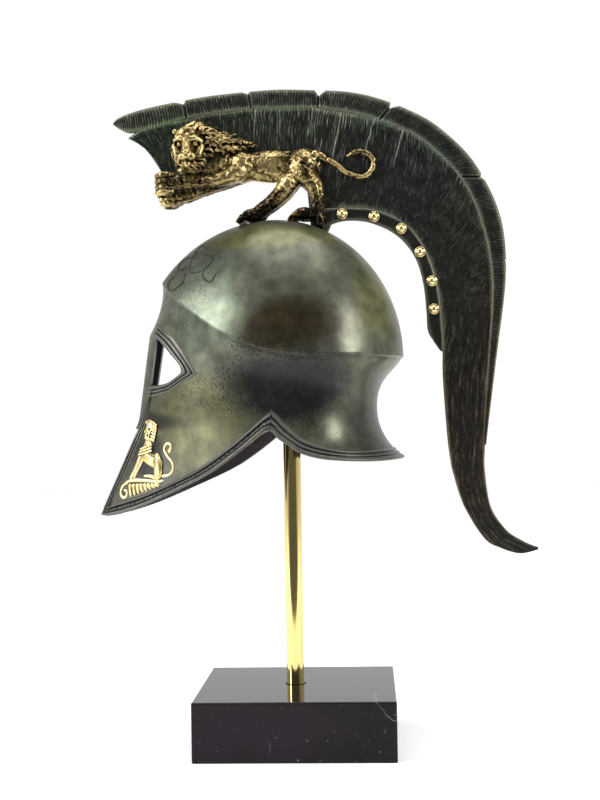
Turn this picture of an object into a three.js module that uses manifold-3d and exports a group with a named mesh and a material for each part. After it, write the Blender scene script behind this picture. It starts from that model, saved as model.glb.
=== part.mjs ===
// Small bronze display helmet of Greek form, with a curved crest plate and two lions,
// standing on a brass rod in a black marble block.
// Millimetres, +Z up. The helmet faces -Y and its left side is +X. The origin is the
// centre of the marble block's bottom face.

import * as THREE from "three";
import { mergeVertices } from "three/addons/utils/BufferGeometryUtils.js";
import Module from "manifold-3d";

const wasm = await Module();
wasm.setup();

// ---- driving dimensions ----

const gap = 0.3; // clearance kept between neighbouring pieces

const base = { side: 100, height: 29.5, ease: 1, hole: 12, holeDepth: 14 };
const rod = { diameter: 9, ease: 0.6, sides: 32 };
const rodForward = 1.5; // the rod stands this much ahead of the block's centre

// the helmet is turned a little on its rod, its face towards its own right
const helmetTurn = THREE.MathUtils.degToRad(-4);

const wall = 2.4;
const apex = { y: -8, z: 271 };
const ridge = { front: 74.2, back: 198.2, rise: 41.6, start: 20, reach: 87.2, power: 2, keelZ: 228 };
const domeEnd = { front: 52, side: 70, back: 90 }; // how far round its arc the dome runs, degrees
const overhang = { front: 1, side: 6, back: 14.3, depth: 10.5, power: 1.7 };
const plan = { halfWidth: 41, centre: 8, backReach: 36.5, nosePower: 1.08 };
const brow = { z: 212, top: 236, recess: 66.2, swell: 8.4, power: 1.7 };
const nasal = { lean: 0.142, end: 164.5, slot: 1 };
const cheek = { topY: -79.8, topZ: 163.5, lean: 0.4637, gapHalf: 4.5 };
const guard = { start: 176, reach: 29.7, back: 13.7, side: 7, power: 2.6, limit: 34 };

// How sharp the keel is: its rounding grows from the brow up, and the front half's plan
// fills out from the pointed cheeks up to the round dome.
const keelRound = { low: 5, high: 16, startZ: 212, overZ: 28 };
const planPower = { low: 1.4, high: 2.2, startZ: 125, overZ: 75 };
// below the nasal's end the keel runs ahead of the cheeks' front edges, which are cut from it
const prow = { ahead: 4, growth: 0.043, startZ: 172, overZ: 16 };

const crest = { thickness: 4, bevel: 0.5 };
const stud = { diameter: 5.6, rise: 1.6 };
const relief = { rise: 1.5 };

// ---- numbers and solids ----

const mix = (a, b, share) => a + (b - a) * share;
const smooth = (share) => THREE.MathUtils.smoothstep(share, 0, 1);

function toSolid(geometry) {
  const bare = geometry.clone();
  bare.deleteAttribute("normal");
  bare.deleteAttribute("uv");
  const merged = mergeVertices(bare, 1e-4);
  const vertProperties = new Float32Array(merged.attributes.position.array);
  const triVerts = new Uint32Array(merged.index.array);
  return new wasm.Manifold(new wasm.Mesh({ numProp: 3, vertProperties, triVerts }));
}

function toMesh(name, solid, material) {
  const { vertProperties, triVerts } = solid.getMesh();
  const geometry = new THREE.BufferGeometry();
  geometry.setAttribute("position", new THREE.BufferAttribute(vertProperties, 3));
  geometry.setIndex(new THREE.BufferAttribute(triVerts, 1));
  geometry.computeVertexNormals();
  const mesh = new THREE.Mesh(geometry, material);
  mesh.name = name;
  return mesh;
}

function joined(solids) {
  return solids.reduce((sum, solid) => sum.add(solid));
}

// A side outline is drawn in Y and Z and runs along X from one side to the other.
const sideways = new THREE.Matrix4().makeBasis(
  new THREE.Vector3(0, 1, 0),
  new THREE.Vector3(0, 0, 1),
  new THREE.Vector3(1, 0, 0),
);

function prism(shape, fromX, toX, curveSegments = 6) {
  const options = { depth: toX - fromX, bevelEnabled: false, curveSegments };
  const geometry = new THREE.ExtrudeGeometry(shape, options);
  geometry.translate(0, 0, fromX);
  return toSolid(geometry.applyMatrix4(sideways));
}

const spots = (pairs) => pairs.map(([y, z]) => new THREE.Vector2(y, z));

// ---- the helmet's form ----
// Below the ridge it is a stack of level sections: a keeled front half and a round back
// half. The dome rises from the ridge to the apex as elliptical arcs.

const risen = (z, { low, high, startZ, overZ }) => mix(low, high, smooth((z - startZ) / overZ));
const cheekFront = (z) => cheek.topY - (cheek.topZ - z) * cheek.lean;

function frontReach(z) {
  const fallen = Math.max(0, (brow.top - z) / (brow.top - brow.z));
  const swell = brow.swell * Math.min(1, fallen ** brow.power);
  const keel = brow.recess + swell + nasal.lean * Math.max(0, brow.z - z);
  const ahead = prow.ahead + prow.growth * (nasal.end - z) - cheekFront(z);
  return mix(keel, ahead, smooth((prow.startZ - z) / prow.overZ));
}

// how far forward of the widest point the keeled half has come, as a share of its reach
function keelShare(turn, z) {
  const round = risen(z, keelRound);
  const across = plan.halfWidth * Math.sin(turn);
  const eased = Math.hypot(across, round) - round;
  const full = Math.hypot(plan.halfWidth, round) - round;
  const left = Math.max(0, 1 - (eased / full) ** plan.nosePower);
  return left ** (1 / risen(z, planPower));
}

// a value that is given at the front, the side and the back
function around(turn, values) {
  if (turn < Math.PI / 2) return mix(values.front, values.side, Math.sin(turn) ** 2);
  return mix(values.side, values.back, Math.cos(turn) ** 2);
}

function ridgeHeight(turn) {
  const atFront = turn < Math.PI / 2;
  const reach = atFront ? ridge.front * keelShare(turn, ridge.keelZ) : plan.backReach * Math.cos(turn);
  const ahead = reach + around(turn, overhang) * Math.cos(turn);
  const share = (ridge.start - plan.centre + ahead) / ridge.reach;
  return ridge.back + ridge.rise * Math.max(0, share) ** ridge.power;
}

// point of the outer surface below the ridge; turn 0 is the front and pi the back
function bodyPoint(turn, z) {
  const sine = Math.sin(turn);
  const cosine = Math.cos(turn);
  const fall = Math.max(0, ridgeHeight(turn) - z) / overhang.depth;
  const bulge = around(turn, overhang) * Math.exp(-(fall ** overhang.power));
  const flareDepth = Math.min(Math.max(0, guard.start - z), guard.limit) / guard.reach;
  const flareSize = turn < Math.PI / 2 ? guard.side * sine ** 4 : around(turn, guard);
  const spread = bulge + flareSize * flareDepth ** guard.power;
  const x = plan.halfWidth * sine + spread * sine;
  if (turn < Math.PI / 2) {
    const reach = frontReach(z) + plan.centre;
    return new THREE.Vector3(x, plan.centre - reach * keelShare(turn, z) - bulge * cosine, z);
  }
  return new THREE.Vector3(x, plan.centre - (plan.backReach + spread) * cosine, z);
}

function domePoint(turn, share) {
  const foot = bodyPoint(turn, ridgeHeight(turn));
  const end = THREE.MathUtils.degToRad(around(turn, domeEnd));
  const outward = Math.sin(share * end) / Math.sin(end);
  const drop = (1 - Math.cos(share * end)) / (1 - Math.cos(end));
  return new THREE.Vector3(
    foot.x * outward,
    mix(apex.y, foot.y, outward),
    mix(apex.z, foot.z, drop),
  );
}

// rung 0 is the apex, 1 the ridge and 2 the lower rim of the uncut form
const rimHeight = (turn) => mix(108, 138, smooth(turn / Math.PI));

function formPoint(turn, rung) {
  if (rung <= 1) return domePoint(turn, rung);
  return bodyPoint(turn, mix(ridgeHeight(turn), rimHeight(turn), rung - 1));
}

function formNormal(turn, rung) {
  const step = 1e-3;
  const before = formPoint(Math.max(turn - step, 0), rung);
  const after = formPoint(Math.min(turn + step, Math.PI), rung);
  const above = formPoint(turn, Math.max(rung - step * 5, 1e-4));
  const below = formPoint(turn, Math.min(rung + step * 5, 2));
  return after.sub(before).cross(below.sub(above)).normalize().negate();
}

// The whole form as one closed solid, its surface moved outward by offset.
function formSolid(offset, rimDrop = 0) {
  const halfSteps = 26;
  const domeRungs = 9;
  const bodyRungs = 15;
  const steps = halfSteps * 2;
  const positions = [0, apex.y, apex.z + offset];
  for (let row = 1; row <= domeRungs + bodyRungs; row += 1) {
    const rung = row <= domeRungs ? row / domeRungs : 1 + (row - domeRungs) / bodyRungs;
    for (let step = 0; step < steps; step += 1) {
      const side = step <= halfSteps ? 1 : -1;
      const share = (step <= halfSteps ? step : steps - step) / halfSteps;
      const turn = Math.PI * share ** 1.25;
      const point = formPoint(turn, rung);
      const normal = formNormal(turn, rung);
      if (share === 0 || share === 1) normal.setX(0).normalize();
      point.addScaledVector(normal, offset);
      if (row === domeRungs + bodyRungs) point.z -= rimDrop;
      positions.push(side * point.x, point.y, point.z);
    }
  }
  positions.push(0, -10, 120 - rimDrop);
  const foot = positions.length / 3 - 1;
  const indices = [];
  const at = (row, step) => 1 + (row - 1) * steps + (step % steps);
  for (let step = 0; step < steps; step += 1) {
    indices.push(0, at(1, step), at(1, step + 1));
    for (let row = 1; row < domeRungs + bodyRungs; row += 1) {
      indices.push(at(row, step), at(row + 1, step), at(row + 1, step + 1));
      indices.push(at(row, step), at(row + 1, step + 1), at(row, step + 1));
    }
    indices.push(foot, at(domeRungs + bodyRungs, step + 1), at(domeRungs + bodyRungs, step));
  }
  const geometry = new THREE.BufferGeometry();
  geometry.setAttribute("position", new THREE.Float32BufferAttribute(positions, 3));
  geometry.setIndex(indices);
  return toSolid(geometry);
}

// ---- helmet shell ----

function eyeShape() {
  const shape = new THREE.Shape();
  shape.moveTo(-68.8, 209.6);
  shape.lineTo(-67.2, 209);
  shape.lineTo(-55.2, 196.6);
  shape.quadraticCurveTo(-51.6, 192.6, -55.4, 189.6);
  shape.lineTo(-60.6, 186.7);
  shape.quadraticCurveTo(-63.5, 185.5, -72.5, 185.3);
  shape.closePath();
  return shape;
}

// the thin slot between the nasal and the cheek, and all that lies ahead of the cheek below it
function faceShapes() {
  const slotTop = 188;
  const slot = new THREE.Shape(spots([
    [cheekFront(slotTop) - nasal.slot, slotTop],
    [cheekFront(slotTop), slotTop],
    [cheekFront(nasal.end - 2), nasal.end - 2],
    [cheekFront(nasal.end - 2) - nasal.slot, nasal.end - 2],
  ]));
  const ahead = new THREE.Shape(spots([
    [cheekFront(nasal.end), nasal.end],
    [cheekFront(100), 100],
    [-130, 100],
    [-130, nasal.end],
  ]));
  const between = new THREE.Shape(spots([
    [cheekFront(slotTop) - 0.5, slotTop],
    [-66, slotTop],
    [-66, 100],
    [cheekFront(100) - 0.5, 100],
  ]));
  return { slot, ahead, between };
}

function belowShape() {
  const shape = new THREE.Shape();
  shape.moveTo(-104, 121);
  shape.quadraticCurveTo(-101.2, 117.4, -96.8, 117.8);
  shape.splineThru(spots([[-86.8, 119.6], [-67.2, 126.6], [-44.6, 136.6], [-34, 142.1], [-15.6, 155.2]]));
  shape.quadraticCurveTo(-9, 160.6, -5.9, 160.8);
  shape.quadraticCurveTo(-4, 160.6, -1.9, 157.2);
  shape.splineThru(spots([[3.5, 153.7], [9.5, 150], [19.3, 147.2], [43, 145.4], [64, 147]]));
  shape.lineTo(90, 147);
  shape.lineTo(90, 60);
  shape.lineTo(-120, 60);
  shape.closePath();
  return shape;
}

const outerForm = formSolid(0);

function helmetShell() {
  const { slot, ahead, between } = faceShapes();
  const cuts = [
    formSolid(-wall, 10),
    prism(eyeShape(), -60, 60),
    prism(slot, -60, 60),
    prism(ahead, -60, 60),
    prism(between, -cheek.gapHalf, cheek.gapHalf),
    prism(belowShape(), -90, 90),
  ];
  return cuts.reduce((shell, cut) => shell.subtract(cut), outerForm);
}

// ---- crest plate ----

const crestTip = [-92.9, 324.9];

function crestShape() {
  const shape = new THREE.Shape();
  shape.moveTo(...crestTip);
  shape.quadraticCurveTo(-90.6, 328.6, -84, 330.2);
  shape.splineThru(spots([[-62, 334.6], [-35, 338.4], [-3, 339.4], [23, 337.8], [50, 331.8]]));
  shape.splineThru(spots([[75, 319.5], [95, 300], [106, 281], [111.4, 260], [111.9, 240]]));
  shape.splineThru(spots([[109, 213.3], [104.4, 182], [100.4, 152], [99.6, 136], [102.2, 121]]));
  shape.splineThru(spots([[108, 110.5], [116.1, 104.2], [125.9, 99.6]]));
  shape.quadraticCurveTo(126.4, 98.6, 125, 98.2);
  shape.splineThru(spots([[116.5, 96.4], [106.4, 99.1], [98.4, 104.3], [88.5, 120.7]]));
  shape.splineThru(spots([[81.8, 145.5], [79.4, 170], [78.6, 194.9]]));
  shape.quadraticCurveTo(78.2, 201.6, 72.7, 207.6);
  shape.quadraticCurveTo(71, 209.4, 71.3, 216);
  shape.splineThru(spots([[70.5, 232.3], [66.2, 248.6], [58.1, 259.6], [47.9, 266], [32.3, 269.4]]));
  shape.quadraticCurveTo(26, 269.6, 19.6, 266.2);
  shape.lineTo(19.6, 258);
  shape.lineTo(12, 258);
  shape.lineTo(12, 291.5);
  shape.lineTo(-30, 294);
  shape.lineTo(-65.4, 297);
  shape.quadraticCurveTo(-69, 309.6, -84.7, 315.8);
  shape.lineTo(-83.2, 320.6);
  shape.quadraticCurveTo(-88.8, 321.6, ...crestTip);
  return shape;
}

// the plate, swollen all round by grow
function crestPlate(grow) {
  const options = {
    depth: crest.thickness - 2 * crest.bevel,
    bevelThickness: crest.bevel + grow,
    bevelSize: crest.bevel + grow,
    bevelOffset: -crest.bevel,
    bevelSegments: 1,
    curveSegments: 5,
  };
  const geometry = new THREE.ExtrudeGeometry(crestShape(), options);
  geometry.translate(0, 0, -options.depth / 2);
  return toSolid(geometry.applyMatrix4(sideways));
}

// ---- lions ----
// Both lions share the plate's middle plane: each is the half of one walking lion that
// stands proud of its side of the plate.

function ball([y, z], x, radius, { flat = 1, long = 1 } = {}) {
  const geometry = new THREE.SphereGeometry(radius, 10, 7);
  geometry.scale(flat, long, 1);
  geometry.translate(x, y, z);
  return toSolid(geometry);
}

function limb(from, to, x, fromRadius, toRadius) {
  const start = new THREE.Vector3(x, ...from);
  const end = new THREE.Vector3(x, ...to);
  const along = end.clone().sub(start);
  const geometry = new THREE.CylinderGeometry(toRadius, fromRadius, along.length(), 10);
  const turn = new THREE.Quaternion().setFromUnitVectors(
    new THREE.Vector3(0, 1, 0),
    along.clone().normalize(),
  );
  geometry.applyQuaternion(turn);
  geometry.translate(...start.add(end).multiplyScalar(0.5).toArray());
  const ends = [ball(from, x, fromRadius), ball(to, x, toRadius)];
  return joined([toSolid(geometry), ...ends]);
}

function lionTail() {
  const route = [
    [13, 304], [19, 302.6], [26, 297.5], [34, 291.8], [42, 292.2], [46, 298], [42, 304], [35, 304.4],
  ].map(([y, z]) => new THREE.Vector3(3.2, y, z));
  const section = new THREE.Shape();
  section.absarc(0, 0, 1.5, 0, Math.PI * 2);
  const options = {
    extrudePath: new THREE.CatmullRomCurve3(route),
    steps: 26,
    curveSegments: 4,
  };
  return toSolid(new THREE.ExtrudeGeometry(section, options));
}

function leftLion() {
  const body = [
    ball([-33, 300], 0, 11.5, { flat: 0.55 }),
    ball([-12, 300.6], 0, 9.4, { flat: 0.65, long: 2.6 }),
    ball([9, 299], 0, 11, { flat: 0.62 }),
    ball([-42, 309], 2, 13.5, { flat: 0.5 }),
    ball([-51, 311], 5, 9, { flat: 0.65 }),
    ball([-52.5, 306], 9.5, 3.6),
  ];
  const legs = [
    limb([-36, 297], [-62.5, 289.6], 3.4, 6.6, 8.4),
    limb([-1, 288], [-9, 279.5], 2.6, 6, 4.4),
    limb([-9, 279.5], [-17, 274], 2.6, 4.4, 3.4),
    limb([-17, 274], [-24, 271.4], 2.6, 3.4, 2.6),
    limb([14, 290], [17, 281], 3.8, 7, 4.6),
    limb([17, 281], [14, 272.6], 3.8, 4.6, 4.2),
    limb([14, 272], [5.5, 271], 3.8, 4.2, 3.2),
  ];
  const whole = joined([...body, ...legs, lionTail()]);
  const half = new THREE.BoxGeometry(40, 200, 140).translate(20 + gap / 2, 0, 300);
  return whole.intersect(toSolid(half)).subtract(crestPlate(gap)).subtract(formSolid(gap));
}

// ---- sphinxes on the cheeks ----

function sphinxShape() {
  const shape = new THREE.Shape();
  shape.moveTo(-74.6, 167.2);
  shape.lineTo(-68.4, 165.6);
  shape.lineTo(-68.8, 158);
  shape.lineTo(-66.4, 151);
  shape.quadraticCurveTo(-62, 145, -61.6, 138.6);
  shape.lineTo(-57.6, 140);
  shape.quadraticCurveTo(-56.4, 146, -61, 151);
  shape.lineTo(-63.4, 155.6);
  shape.lineTo(-59, 157.4);
  shape.lineTo(-58, 154.8);
  shape.quadraticCurveTo(-54, 143, -58.6, 137);
  shape.lineTo(-70, 131.6);
  shape.lineTo(-85, 126.4);
  shape.quadraticCurveTo(-89.6, 127.4, -87.2, 132.6);
  shape.lineTo(-84.6, 137.6);
  shape.lineTo(-79.6, 150.4);
  shape.lineTo(-76.6, 156.6);
  shape.closePath();
  const chest = new THREE.Path(spots([
    [-76.4, 148.6],
    [-79.6, 138.6],
    [-70.2, 139.4],
    [-72.4, 145],
  ]));
  shape.holes.push(chest);
  return shape;
}

function leftSphinx() {
  const outline = prism(sphinxShape(), 1, 60);
  return outline.intersect(formSolid(relief.rise)).subtract(formSolid(gap));
}

// the same piece on the helmet's right side
function mirrored(solid) {
  const { vertProperties, triVerts } = solid.getMesh();
  const turned = vertProperties.map((value, place) => (place % 3 === 0 ? -value : value));
  const flipped = triVerts.map((_, place) => triVerts[place - (place % 3) + 2 - (place % 3)]);
  const parts = { numProp: 3, vertProperties: turned, triVerts: flipped };
  return new wasm.Manifold(new wasm.Mesh(parts));
}

// ---- studs, rod and base ----

const studPlaces = [
  [28.4, 272.8], [45, 270.9], [59, 264.2], [68.4, 251.8], [74.2, 236.7], [75, 222.2],
];

function studSolid(side) {
  const radius = stud.diameter / 2;
  const profile = [new THREE.Vector2(0, 0), new THREE.Vector2(radius, 0)];
  const rings = 4;
  for (let ring = 1; ring <= rings; ring += 1) {
    const angle = (Math.PI / 2) * (ring / rings);
    const across = ring === rings ? 0 : radius * Math.cos(angle);
    profile.push(new THREE.Vector2(across, stud.rise * Math.sin(angle)));
  }
  const geometry = new THREE.LatheGeometry(profile, 14);
  geometry.rotateZ((-side * Math.PI) / 2);
  geometry.translate(side * (crest.thickness / 2 + gap), 0, 0);
  return toSolid(geometry);
}

function rodSolid() {
  const radius = rod.diameter / 2;
  const foot = base.height - base.holeDepth + gap;
  const top = apex.z - wall - 2 * gap;
  const profile = [
    [0, foot], [radius - rod.ease, foot], [radius, foot + rod.ease],
    [radius, top - rod.ease], [radius - rod.ease, top], [0, top],
  ].map(([across, height]) => new THREE.Vector2(across, height));
  const geometry = new THREE.LatheGeometry(profile, rod.sides);
  const upright = toSolid(geometry.rotateX(Math.PI / 2));
  return upright.subtract(outerForm.subtract(formSolid(-wall - gap, 10)));
}

function baseSolid() {
  const corner = base.side / 2 - base.ease;
  const shape = new THREE.Shape(spots([
    [-corner, -corner], [corner, -corner], [corner, corner], [-corner, corner],
  ]));
  const block = new THREE.ExtrudeGeometry(shape, {
    depth: base.height - 2 * base.ease,
    bevelThickness: base.ease,
    bevelSize: base.ease,
    bevelSegments: 2,
  });
  block.translate(0, 0, base.ease);
  const hole = new THREE.CylinderGeometry(base.hole / 2, base.hole / 2, base.holeDepth * 2, 32);
  hole.rotateX(Math.PI / 2);
  hole.translate(0, -rodForward, base.height);
  return toSolid(block).subtract(toSolid(hole));
}

// ---- assembly ----

function finish(color, roughness, metalness) {
  return new THREE.MeshStandardMaterial({ color, roughness, metalness });
}

const patina = finish(0x4d5a45, 0.42, 0.8);
const darkPatina = finish(0x1f2926, 0.5, 0.8);
const lionBronze = finish(0x8a7440, 0.4, 0.9);
const goldBronze = finish(0xd8b04a, 0.28, 1);
const polishedBrass = finish(0xd9b45a, 0.12, 1);
const marble = finish(0x121214, 0.12, 0);

// the helmet's own pieces are all drawn about the rod's axis
const helmet = new THREE.Group();
helmet.rotation.z = helmetTurn;
helmet.add(toMesh("helmet_shell", helmetShell(), patina));
helmet.add(toMesh("crest_plate", crestPlate(0).subtract(formSolid(gap)), darkPatina));

const lion = leftLion();
helmet.add(toMesh("lion_left", lion, lionBronze));
helmet.add(toMesh("lion_right", mirrored(lion), lionBronze.clone()));

const sphinx = leftSphinx();
helmet.add(toMesh("sphinx_left", sphinx, goldBronze));
helmet.add(toMesh("sphinx_right", mirrored(sphinx), goldBronze.clone()));

for (const [sideName, side] of [["left", 1], ["right", -1]]) {
  studPlaces.forEach(([y, z], place) => {
    const name = `stud_${sideName}_${place + 1}`;
    const mesh = toMesh(name, studSolid(side), goldBronze.clone());
    mesh.position.set(0, y, z);
    helmet.add(mesh);
  });
}

const onRod = new THREE.Group();
onRod.position.y = -rodForward;
onRod.add(toMesh("rod", rodSolid(), polishedBrass));
onRod.add(helmet);

const display = new THREE.Group();
display.add(toMesh("base", baseSolid(), marble));
display.add(onRod);

export default display;
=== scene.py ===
import math

import bmesh
import bpy
import numpy as np
from mathutils import Matrix, Vector, noise


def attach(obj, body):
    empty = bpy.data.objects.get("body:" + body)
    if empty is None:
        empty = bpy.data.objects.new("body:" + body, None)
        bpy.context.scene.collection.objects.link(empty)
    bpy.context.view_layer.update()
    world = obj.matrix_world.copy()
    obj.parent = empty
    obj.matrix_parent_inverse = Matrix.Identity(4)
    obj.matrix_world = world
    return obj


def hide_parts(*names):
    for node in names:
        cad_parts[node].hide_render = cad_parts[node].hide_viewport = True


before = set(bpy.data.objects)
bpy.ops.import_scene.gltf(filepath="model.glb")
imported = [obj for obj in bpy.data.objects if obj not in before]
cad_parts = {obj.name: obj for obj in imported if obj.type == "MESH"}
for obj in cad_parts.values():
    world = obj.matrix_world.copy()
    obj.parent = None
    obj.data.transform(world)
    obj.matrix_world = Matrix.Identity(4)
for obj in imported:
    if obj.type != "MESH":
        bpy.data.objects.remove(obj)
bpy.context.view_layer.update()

# ---- camera ----
# A level view of the helmet's left side from three quarters of a metre, the lens at about
# half the height of the piece.
camera_place = Vector((0.72583, 0.03841, 0.16331))
camera_right = Vector((-0.04889, 0.99868, -0.01606))
camera_up = Vector((0.01763, 0.01694, 0.99970))
camera_back = Vector((0.99865, 0.04859, -0.01843))
camera_data = bpy.data.cameras.new("camera")
camera_data.sensor_fit = "VERTICAL"
camera_data.sensor_height = 36
camera_data.lens = 62.73
camera_data.clip_start = 0.01
camera = bpy.data.objects.new("camera", camera_data)
bpy.context.scene.collection.objects.link(camera)
camera_turn = Matrix((camera_right, camera_up, camera_back)).transposed().to_4x4()
camera.matrix_world = Matrix.Translation(camera_place) @ camera_turn
bpy.context.scene.camera = camera
bpy.context.scene.view_settings.view_transform = "Standard"

# ---- marble base ----
# A block of black marble, sawn and polished, with a few white veins. Its edges are eased,
# and the rod stands in a blind hole drilled a little forward of the middle.


def new_finish(name, metallic, roughness):
    """A material with its shader, its metalness and roughness set; the patterns later put into it are
    drawn on the piece's own coordinates.
    """
    finish = bpy.data.materials.new(name)
    finish.use_nodes = True
    shader = finish.node_tree.nodes["Principled BSDF"]
    shader.inputs["Metallic"].default_value = metallic
    shader.inputs["Roughness"].default_value = roughness
    return finish, finish.node_tree, shader


def feed(tree, socket, value):
    """Links a socket to another one, or sets it to a number, a vector or a colour."""
    if isinstance(value, bpy.types.NodeSocket):
        tree.links.new(value, socket)
    elif socket.type == "RGBA":
        socket.default_value = (*value, 1)
    else:
        socket.default_value = value


def add_node(tree, kind, settings=None, **values):
    """A shader node with its settings made and its sockets fed."""
    node = tree.nodes.new("ShaderNode" + kind)
    for key, value in (settings or {}).items():
        setattr(node, key, value)
    for socket, value in values.items():
        feed(tree, node.inputs[socket], value)
    return node


def own_place(tree):
    """Where a point of the piece is, in metres."""
    return add_node(tree, "TexCoord").outputs["Object"]


def cloud(tree, scale, detail=3, stretch=None, distortion=0.0):
    """A soft noise over the piece; scale is in spots per metre."""
    place = own_place(tree)
    if stretch:
        place = add_node(tree, "Mapping", Vector=place, Scale=stretch).outputs["Vector"]
    return add_node(
        tree, "TexNoise", Vector=place, Scale=scale, Detail=detail, Distortion=distortion
    ).outputs["Fac"]


def ramp(tree, source, stops):
    """A colour band; each stop is a place and a colour or a grey."""
    node = add_node(tree, "ValToRGB", Fac=source)
    marks = node.color_ramp.elements
    while len(marks) < len(stops):
        marks.new(1)
    for mark, (place, colour) in zip(marks, stops):
        mark.position = place
        mark.color = (*colour, 1) if isinstance(colour, tuple) else (colour, colour, colour, 1)
    return node.outputs["Color"]


def blend_colours(tree, share, first, second, how="MIX"):
    """Two colours put together; the node's colour sockets are numbers 6 and 7."""
    node = add_node(tree, "Mix", {"data_type": "RGBA", "blend_type": how})
    for number, value in ((0, share), (6, first), (7, second)):
        feed(tree, node.inputs[number], value)
    return node.outputs[2]


def sums(tree, how, first, second=0.0):
    """One step of arithmetic on two numbers."""
    node = add_node(tree, "Math", {"operation": how})
    feed(tree, node.inputs[0], first)
    feed(tree, node.inputs[1], second)
    return node.outputs[0]


def ranged(tree, source, low, high, new_low, new_high):
    """A number carried from one range to another."""
    ends = {"From Min": low, "From Max": high, "To Min": new_low, "To Max": new_high}
    return add_node(tree, "MapRange", Value=source, **ends).outputs["Result"]


def length_of(tree, vector):
    """How long a vector is."""
    node = add_node(tree, "VectorMath", {"operation": "LENGTH"}, Vector=vector)
    return node.outputs["Value"]


def roughen(tree, shader, source, low, high):
    """Lets a pattern vary the gloss between two roughnesses."""
    tree.links.new(ranged(tree, source, 0, 1, low, high), shader.inputs["Roughness"])


def emboss(tree, shader, source, depth, strength=1.0):
    """Small relief from a pattern; depth is in metres."""
    bump = add_node(tree, "Bump", Height=source, Distance=depth, Strength=strength)
    tree.links.new(bump.outputs["Normal"], shader.inputs["Normal"])


def placed(bm, name):
    """A new object in the scene that takes a bmesh as its mesh."""
    mesh = bpy.data.meshes.new(name)
    bm.to_mesh(mesh)
    bm.free()
    item = bpy.data.objects.new(name, mesh)
    bpy.context.scene.collection.objects.link(item)
    return item


def new_piece(name, bm, finishes, replaced=(), turned=False):
    """Makes a bmesh drawn in millimetres into a piece.

    A turned piece belongs to the helmet, which stands turned on the rod.
    """
    if turned:
        bm.transform(helmet_place)
    bmesh.ops.scale(bm, vec=(0.001, 0.001, 0.001), verts=bm.verts)
    piece = placed(bm, name)
    for finish in finishes:
        piece.data.materials.append(finish)
    piece.data.polygons.foreach_set("use_smooth", [True] * len(piece.data.polygons))
    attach(piece, "root")
    if replaced:
        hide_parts(*replaced)
    return piece


def worked(holder, tools=()):
    """The bmesh that an object's modifiers make; it and its tools are taken away."""
    bpy.context.view_layer.update()
    result = bmesh.new()
    result.from_object(holder, bpy.context.evaluated_depsgraph_get())
    for item in [holder, *tools]:
        bpy.data.objects.remove(item)
    return result


def carved(bm, cutters):
    """The bmesh after each cutter, another bmesh, has been taken out of it."""
    holder = placed(bm, "work")
    tools = [placed(cutter, "cutter") for cutter in cutters]
    for tool in tools:
        cut = holder.modifiers.new("cut", "BOOLEAN")
        cut.object = tool
        cut.operation = "DIFFERENCE"
        cut.solver = "EXACT"
    return worked(holder, tools)


base_side = 100
base_height = 29.5
base_ease = 0.7
rod_place = Vector((0, -1.5, 0))
rod_radius = 4.5
hole_depth = 14
hole_slack = 0.35
countersink_depth = 2
countersink_slack = 0.2


def drill_bit(low_radius, high_radius, depth):
    """An upright cutter centred on the block's top, where the rod goes in."""
    bit = bmesh.new()
    bmesh.ops.create_cone(
        bit, cap_ends=True, segments=48, radius1=low_radius, radius2=high_radius, depth=depth
    )
    bmesh.ops.translate(bit, vec=(0, rod_place.y, base_height), verts=bit.verts)
    return bit


block = bmesh.new()
bmesh.ops.create_cube(block, size=1)
bmesh.ops.scale(block, vec=(base_side, base_side, base_height), verts=block.verts)
bmesh.ops.translate(block, vec=(0, 0, base_height / 2), verts=block.verts)
bmesh.ops.bevel(
    block, geom=block.edges, affect="EDGES", offset=base_ease, segments=3, profile=0.5, material=-1
)
drill = drill_bit(rod_radius + hole_slack, rod_radius + hole_slack, hole_depth * 2)
countersink = drill_bit(
    rod_radius + countersink_slack, rod_radius + countersink_depth, countersink_depth
)

marble, tree, shader = new_finish("black_marble", 0, 0.07)
shader.inputs["Specular IOR Level"].default_value = 0.16
stone_dark = (0.004, 0.003, 0.005)
stone_light = (0.011, 0.007, 0.012)
vein_white = (0.34, 0.33, 0.34)
stone = ramp(tree, cloud(tree, 30, 5, distortion=0.6), [(0.3, stone_dark), (0.75, stone_light)])
# short veins between the stone's cells, shown in patches, and fine flecks
place = own_place(tree)
wander = add_node(tree, "TexNoise", Vector=place, Scale=35, Detail=4)
warped = add_node(tree, "VectorMath", {"operation": "MULTIPLY_ADD"})
feed(tree, warped.inputs[0], wander.outputs["Color"])
feed(tree, warped.inputs[1], (0.03, 0.03, 0.03))
feed(tree, warped.inputs[2], place)
cells = add_node(tree, "TexVoronoi", {"feature": "DISTANCE_TO_EDGE"}, Vector=warped.outputs[0], Scale=26)
vein = ramp(tree, cells.outputs["Distance"], [(0.0, 0.7), (0.008, 0.0)])
patches = ramp(tree, cloud(tree, 60, 4), [(0.62, 0.0), (0.72, 0.6)])
flecks = ramp(tree, cloud(tree, 420, 2), [(0.68, 0.0), (0.76, 0.3)])
pale = blend_colours(tree, 1.0, blend_colours(tree, 1.0, vein, patches, "MULTIPLY"), flecks, "ADD")
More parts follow.
